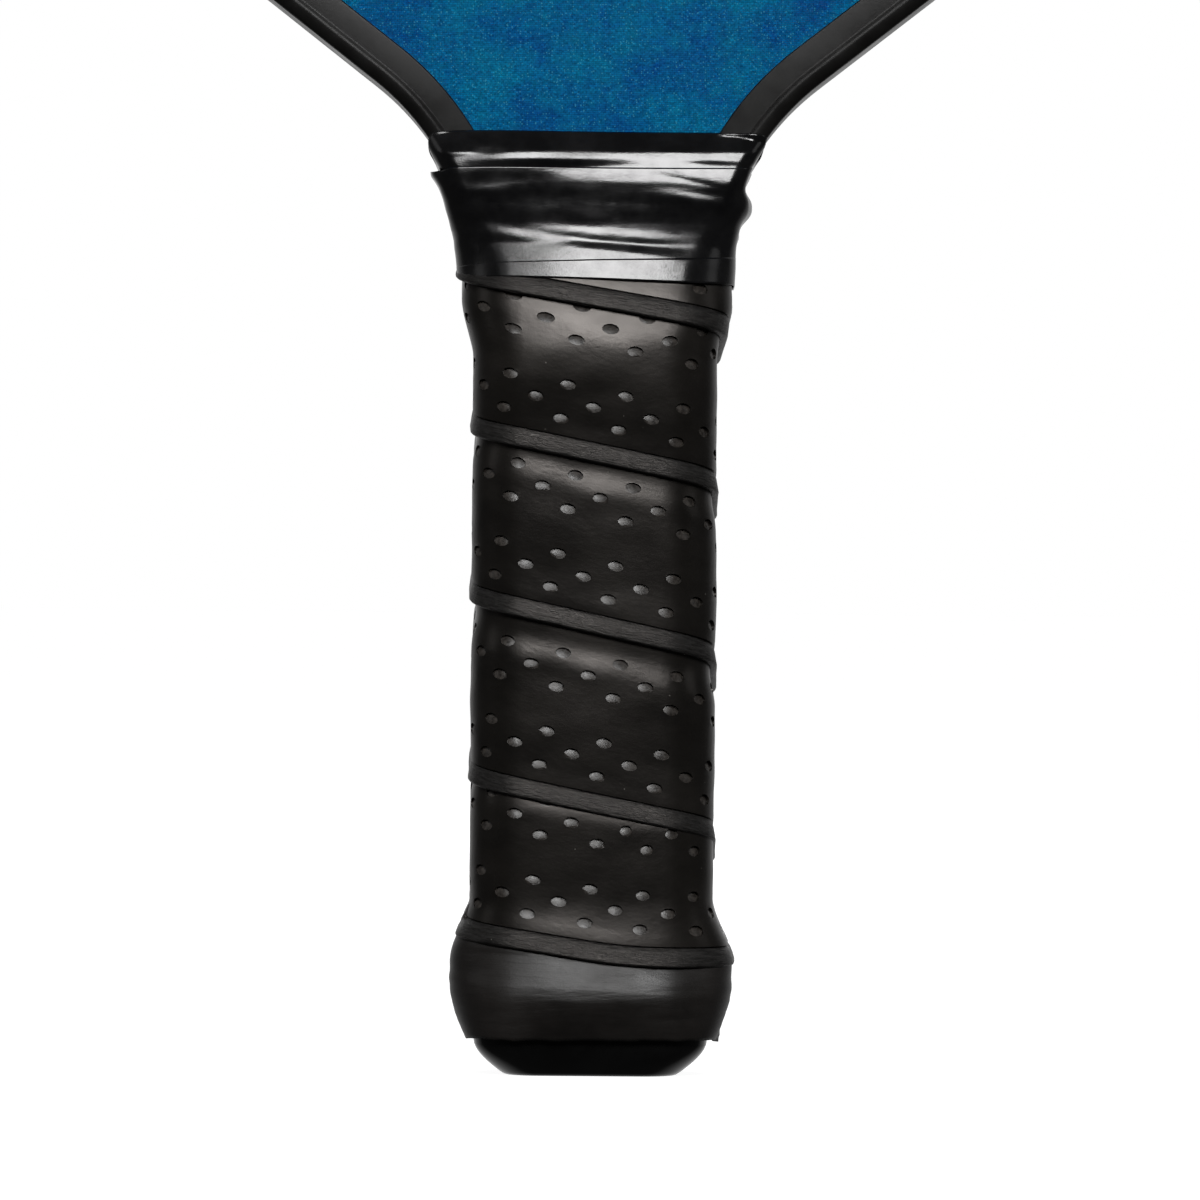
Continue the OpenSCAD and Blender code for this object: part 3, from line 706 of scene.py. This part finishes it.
cover = punched_tile("wound_grip_cover")
pick(cover, lambda p: abs(p.y - BAND) < 0.01, "EDGE")
bpy.ops.mesh.bevel(offset=0.13 * MM, segments=2, affect="EDGES")
pick(cover, lambda p: p.y < 0.01, "EDGE")
for out, down in ((0.12, 0.06), (0.16, 0.18), (0.10, 0.28)):
    bpy.ops.mesh.extrude_region_move(TRANSFORM_OT_translate={"value": (0, -out * MM, -down * MM)})
bpy.ops.object.mode_set(mode="OBJECT")
for p in cover.data.vertices:
    p.co.z += tape_relief(p.co.y / MM) * MM
laid_out(cover)
bpy.ops.object.mode_set(mode="EDIT")
bpy.ops.mesh.select_all(action="SELECT")
bpy.ops.mesh.extrude_region_move(TRANSFORM_OT_translate={"value": (0, 0, -SKIN * MM)})
bpy.ops.object.mode_set(mode="OBJECT")
wind(cover)
finished(cover, 50)

cushion = punched_tile("wound_grip_cushion")
pick(cushion, lambda p: any((p - c).length < HOLE_R + 0.02 for c in hole_centres))
bpy.ops.mesh.fill_holes(sides=0)
for reach in (HOLE_R, 0.66 * HOLE_R):
    pick(cushion, lambda p: any((p - c).length < reach + 0.02 for c in hole_centres), "FACE")
    bpy.ops.mesh.inset(thickness=0.25 * MM, use_individual=True)
pick(cushion, lambda p: p.y < BAND - 0.01)
bpy.ops.mesh.delete(type="VERT")
bpy.ops.object.mode_set(mode="OBJECT")
for p in cushion.data.vertices:
    for off in (p.co / MM - c for c in hole_centres):
        if off.length < HOLE_R + 0.02:
            right, up = off.x * PULL, off.y
            lean = DOME_LEAN_UP * up + DOME_LEAN_RIGHT * right
            p.co.z = (DOME_TOP - lean - DOME_CURVE * (up * up + 0.5 * right * right)) * MM
for p in cushion.data.vertices:
    p.co.z += (tape_relief(max(p.co.y / MM, BAND + 0.4)) - SKIN - 0.03) * MM
laid_out(cushion)
bpy.ops.object.mode_set(mode="EDIT")
bpy.ops.mesh.select_all(action="SELECT")
bpy.ops.mesh.extrude_region_move(TRANSFORM_OT_translate={"value": (0, 0, -1.0 * MM)})
bpy.ops.transform.resize(value=(1, 1, 0), center_override=(0, 0, -1.72 * MM))
bpy.ops.object.mode_set(mode="OBJECT")
wind(cushion)
finished(cushion, 50)

grip_skin, tree, shader, place = new_material("grip_skin", 0.40, 0.45)
flat = add(tree, "Attribute", attribute_name="flat").outputs["Vector"]
across = add(tree, "SeparateXYZ", {0: flat}).outputs["Y"]
band = between(tree, across, (BAND - 0.12) * MM, (BAND + 0.05) * MM, 1, 0)
patch = between(tree, grain(tree, flat, 130, 5, 0.6), 0.35, 0.7)
skin_colour = mixed(tree, patch, (0.0060, 0.0054, 0.0048), (0.0110, 0.0098, 0.0084))
drawn = add(tree, "Mapping", {"Vector": flat, "Scale": (0.3, 1, 1)}).outputs[0]
band_grain = between(tree, grain(tree, drawn, 3200, 3, 0.7), 0.35, 0.65)
band_colour = mixed(tree, band_grain, (0.004, 0.004, 0.004), (0.026, 0.0255, 0.025))
clean = mixed(tree, band, skin_colour, band_colour)
dust = math_of(tree, "MULTIPLY", spots(tree, place, DUST_SPACING * MM, 0.28, 0.03, 0.055), 0.6)
gloss = math_of(tree, "ADD", between(tree, patch, 0, 1, 0.29, 0.40), math_of(tree, "MULTIPLY", band, 0.10))
coat(tree, shader, mixed(tree, dust, clean, (0.22, 0.21, 0.19)), gloss)
pores = bump(tree, shader, grain(tree, flat, 1500, 4, 0.65), 0.022 * MM)
bump(tree, shader, math_of(tree, "MULTIPLY", band_grain, band), 0.05 * MM, pores)
shader.inputs["Specular Tint"].default_value = (1.0, 0.93, 0.88, 1)
belongs(cover, grip_skin, "grip_skin", "grip_cover")

grip_foam = mottled("grip_foam", (0.020, 0.017, 0.015), (0.055, 0.048, 0.042), 1800, 0.33, 0.012 * MM,
                    specular=0.42)
belongs(cushion, grip_foam, "grip_foam", "grip_cushion")

# ---- Finishing tape ----
# Glossy stretch tape pulled tight over the grip's end and the throat in three turns. It bridges
# hollows and rucks into folds: one stands out at the left, and a bulge lies over the right bead.
TAPE_TURNS = [           # lower edge, upper edge, how much each climbs to the right, how far out
    (112, 128.1, 0, 0, 0.34),
    (108.9, 123.2, -0.03, 0.01, 0.48),
    (108.0, 110.7, -0.04, 0.035, 0.62),
]
FOLDS = [                # middle round and up, slope, half length, half height, rise: in millimetres
    (14, 118.6, -0.14, 6, 1.0, 0.30),
    (-12, 120.1, 0.04, 6, 0.8, 0.08),
    (-4, 114.6, -0.04, 5, 0.7, 0.05),
    (6, 113.6, -0.06, 5, 0.7, 0.09),
    (-19, 125.0, 0.10, 2.2, 0.45, 0.09),
    (13, 121.3, -0.20, 4.0, 0.35, -0.07),
]
STEPS = [                # as above, but the tape stays that much higher above the line
    (-8, 123.70, 0.02, 11, 0.80, 0.46),
    (-14, 113.6, -0.08, 8, 0.9, 0.25),
    (-14, 121.9, 0.03, 10, 1.7, 0.52),
    (17, 123.9, -0.03, 5, 0.45, 0.17),
]
BACK_FOLDS = 22
TAPE_ROUND = 300
FILM = 0.12
dice = random.Random(11)
for _ in range(BACK_FOLDS):
    around = dice.uniform(0.30, 0.70) * LAP
    FOLDS.append((around, dice.uniform(109, 126), dice.uniform(-0.25, 0.25), dice.uniform(3, 9),
                  dice.uniform(0.6, 1.2), dice.uniform(0.06, 0.18)))


def fold_height(u, z):
    """How far the folds and steps lift the tape."""
    x = on_handle(u, z, 0).x / MM
    total = 0
    for middle, height, slope, reach, wide, rise in FOLDS:
        off = x - middle if abs(middle) < QUARTER else around_from(u, middle)
        if abs(off) < 2.5 * reach:
            up = z - height - slope * off
            total += rise * math.exp(-(off / reach) ** 2 - (up / wide) ** 2)
    for middle, height, slope, reach, wide, rise in STEPS:
        off = x - middle
        total += rise * ease((z - height - slope * off) / (2 * wide) + 0.5) * math.exp(-(off / reach) ** 2)
    return total


def throat_tape_out(u, z, loose):
    """Relief of the tape over its smooth section: hollow, crease, folds, bulge, and the loose flap."""
    x = on_handle(u, z, 0).x / MM
    off = min(max(x, -16), 16)
    soft = 0.75 + 1.6 * min(abs(off - 2) / 16, 1) ** 2
    crease = 0.34 * ease((z - (112.6 - 0.09 * off) + soft) / (2 * soft)) * (1 - ease((z - 118) / 6))
    flap = 0
    if loose:
        flap = 1.8 * math.exp(-((around_from(u, 0.75 * LAP) - 5) / 7) ** 2)
        flap *= min(max((z - 114.4) / 8.8, 0), 1)
        flap *= 1 - 0.35 * ease((z - 121.8) / 1.4)
    bulge = 1.3 * math.exp(-((around_from(u, 0.25 * LAP) + 3) / 6) ** 2 - (abs(z - 118) / 1.9) ** 3)
    calm = 0.3 + 0.7 * ease((z - 111) / 2)
    rough = calm * (0.035 * lumps(u, z, 5, 1.6, 41) + 0.02 * lumps(u, z, 2.2, 1.1, 43))
    out = fold_height(u, z) + flap + bulge + rough - crease
    if z <= 125.4:
        return out
    rest = 7.3 + 0.84 * ease((abs(x) - 15.3) / 1.6) + 0.26 * ease(abs(x) - 19.5)
    return max(out, rest - section_at(z)[1])


def tape_edge(u, middle, climb, sag):
    """An edge of the tape: it climbs across the front, and sags towards the sides with a waver."""
    turn = 2 * math.pi * (u % LAP) / LAP
    left_dip = 0.5 * math.exp(-(around_from(u, -0.17 * LAP) / 6) ** 2)
    return (middle + climb * LAP / (2 * math.pi) * math.sin(turn) - sag * math.sin(turn) ** 6
            - left_dip + 0.18 * lumps(u, middle, 16, 9, 51))


turns = []
for number, (low, high, low_climb, high_climb, out) in enumerate(TAPE_TURNS):
    count_up = max(8, round((high - low) / 0.22))
    turn_piece = start_piece(f"tape_turn_{number}", bpy.ops.mesh.primitive_grid_add,
                             x_subdivisions=TAPE_ROUND, y_subdivisions=count_up, size=1)
    bpy.ops.object.mode_set(mode="OBJECT")
    for p in turn_piece.data.vertices:
        u, t = (p.co.x + 0.5) * LAP, p.co.y + 0.5
        bottom = tape_edge(u, low, low_climb, 0)
        z = bottom + (tape_edge(u, high, high_climb, 0 if number else 4.2) - bottom) * t
        left = max(-on_handle(u, z, 0).x / MM - 6, 0)
        droop = 0.012 * left ** 2 * math.exp(-(left / 11) ** 4)
        droop *= ease((z - 118) / 3) * (1 - ease((z - 124.5) / 2))
        relief = out + throat_tape_out(u, z, number > 0)
        p.co = on_handle(u, z, relief)
        p.co.y = on_handle(u, z + droop, relief).y
    finished(turn_piece, 60)
    film = turn_piece.modifiers.new("film", "SOLIDIFY")
    film.thickness = FILM * MM
    film.offset = -1
    bpy.ops.object.modifier_apply(modifier=film.name)
    turns.append(turn_piece)
bpy.ops.object.select_all(action="DESELECT")
for turn_piece in turns:
    turn_piece.select_set(True)
bpy.context.view_layer.objects.active = turns[0]
bpy.ops.object.join()
tape = turns[0]
tape.name = tape.data.name = "wound_finishing_tape"

gloss_tape, tree, shader, place = new_material("stretch_tape", 0.20, 0.5)
haze = between(tree, grain(tree, place, 180, 5, 0.65), 0.4, 0.7)
coat(tree, shader, mixed(tree, haze, (0.004, 0.004, 0.0045), (0.010, 0.010, 0.0105)),
     between(tree, haze, 0, 1, 0.17, 0.27))
stretch = add(tree, "Mapping", {"Vector": place, "Scale": (0.35, 0.35, 1)}).outputs[0]
pulled = bump(tree, shader, grain(tree, stretch, 700, 4, 0.6), 0.03 * MM)
bump(tree, shader, grain(tree, place, 4000, 2), 0.006 * MM, pulled)
belongs(tape, gloss_tape, "stretch_tape", "finishing_tape")

# ---- Stage ----
# A pale floor and a white backdrop, with a soft box above the camera, its match behind, and weak
# boxes at the sides.
FLOOR_SIZE = 80           # in metres, as are the boxes' sizes and distances
LIT_POINT = Vector((0, 0, 0.1))


def soft_box(name, azimuth, elevation, distance, width, height, power):
    """An area light that looks at the throat from the given side: 0 is the front, 90 the right."""
    lamp = bpy.data.lights.new(name, "AREA")
    lamp.shape = "RECTANGLE"
    lamp.size, lamp.size_y = width, height
    lamp.energy = power
    box = bpy.data.objects.new(name, lamp)
    turn, rise = math.radians(azimuth), math.radians(elevation)
    away = Vector((math.sin(turn) * math.cos(rise), -math.cos(turn) * math.cos(rise), math.sin(rise)))
    box.location = LIT_POINT + away * distance
    box.rotation_euler = away.to_track_quat("Z", "Y").to_euler()
    box.visible_camera = False
    bpy.context.scene.collection.objects.link(box)


soft_box("key_box", 2.2, 31, 1.6, 0.44, 0.55, 16)
soft_box("left_card", -22, 31, 1.6, 0.55, 0.55, 0.4)
soft_box("back_box", 180, 31, 1.6, 0.55, 0.55, 15)
soft_box("left_fill", -75, 25, 1.8, 0.6, 1.0, 1.0)
soft_box("right_fill", 75, 25, 1.8, 0.6, 1.0, 1.0)

floor = start_piece("floor", bpy.ops.mesh.primitive_plane_add, size=FLOOR_SIZE, location=(0, 0, 0))
bpy.ops.object.mode_set(mode="OBJECT")
pale, tree, shader, place = new_material("pale_floor", 0.9, 0.1)
shader.inputs["Base Color"].default_value = (0.30, 0.30, 0.30, 1)
shader.inputs["Emission Color"].default_value = (1, 1, 1, 1)
shader.inputs["Emission Strength"].default_value = 0.95
floor.data.materials.append(pale)
floor.visible_glossy = floor.visible_diffuse = False

world = bpy.data.worlds.new("studio")
bpy.context.scene.world = world
world.use_nodes = True
tree = world.node_tree
background = tree.nodes["Background"]
way = add(tree, "SeparateXYZ", {0: add(tree, "TexCoord").outputs["Generated"]}).outputs
behind = between(tree, way["Y"], 0.45, 0.95, 0.0, 0.6)
front = between(tree, way["Y"], -0.95, -0.2, 0.02, 0.05)
dim = math_of(tree, "ADD", behind, front)
seen = add(tree, "LightPath").outputs["Is Camera Ray"]
unseen = math_of(tree, "SUBTRACT", 1.0, seen)
strength = math_of(tree, "ADD", math_of(tree, "MULTIPLY", dim, unseen), seen)
tree.links.new(strength, background.inputs["Strength"])
background.inputs["Color"].default_value = (1, 1, 1, 1)
bpy.context.scene.view_settings.view_transform = "Standard"
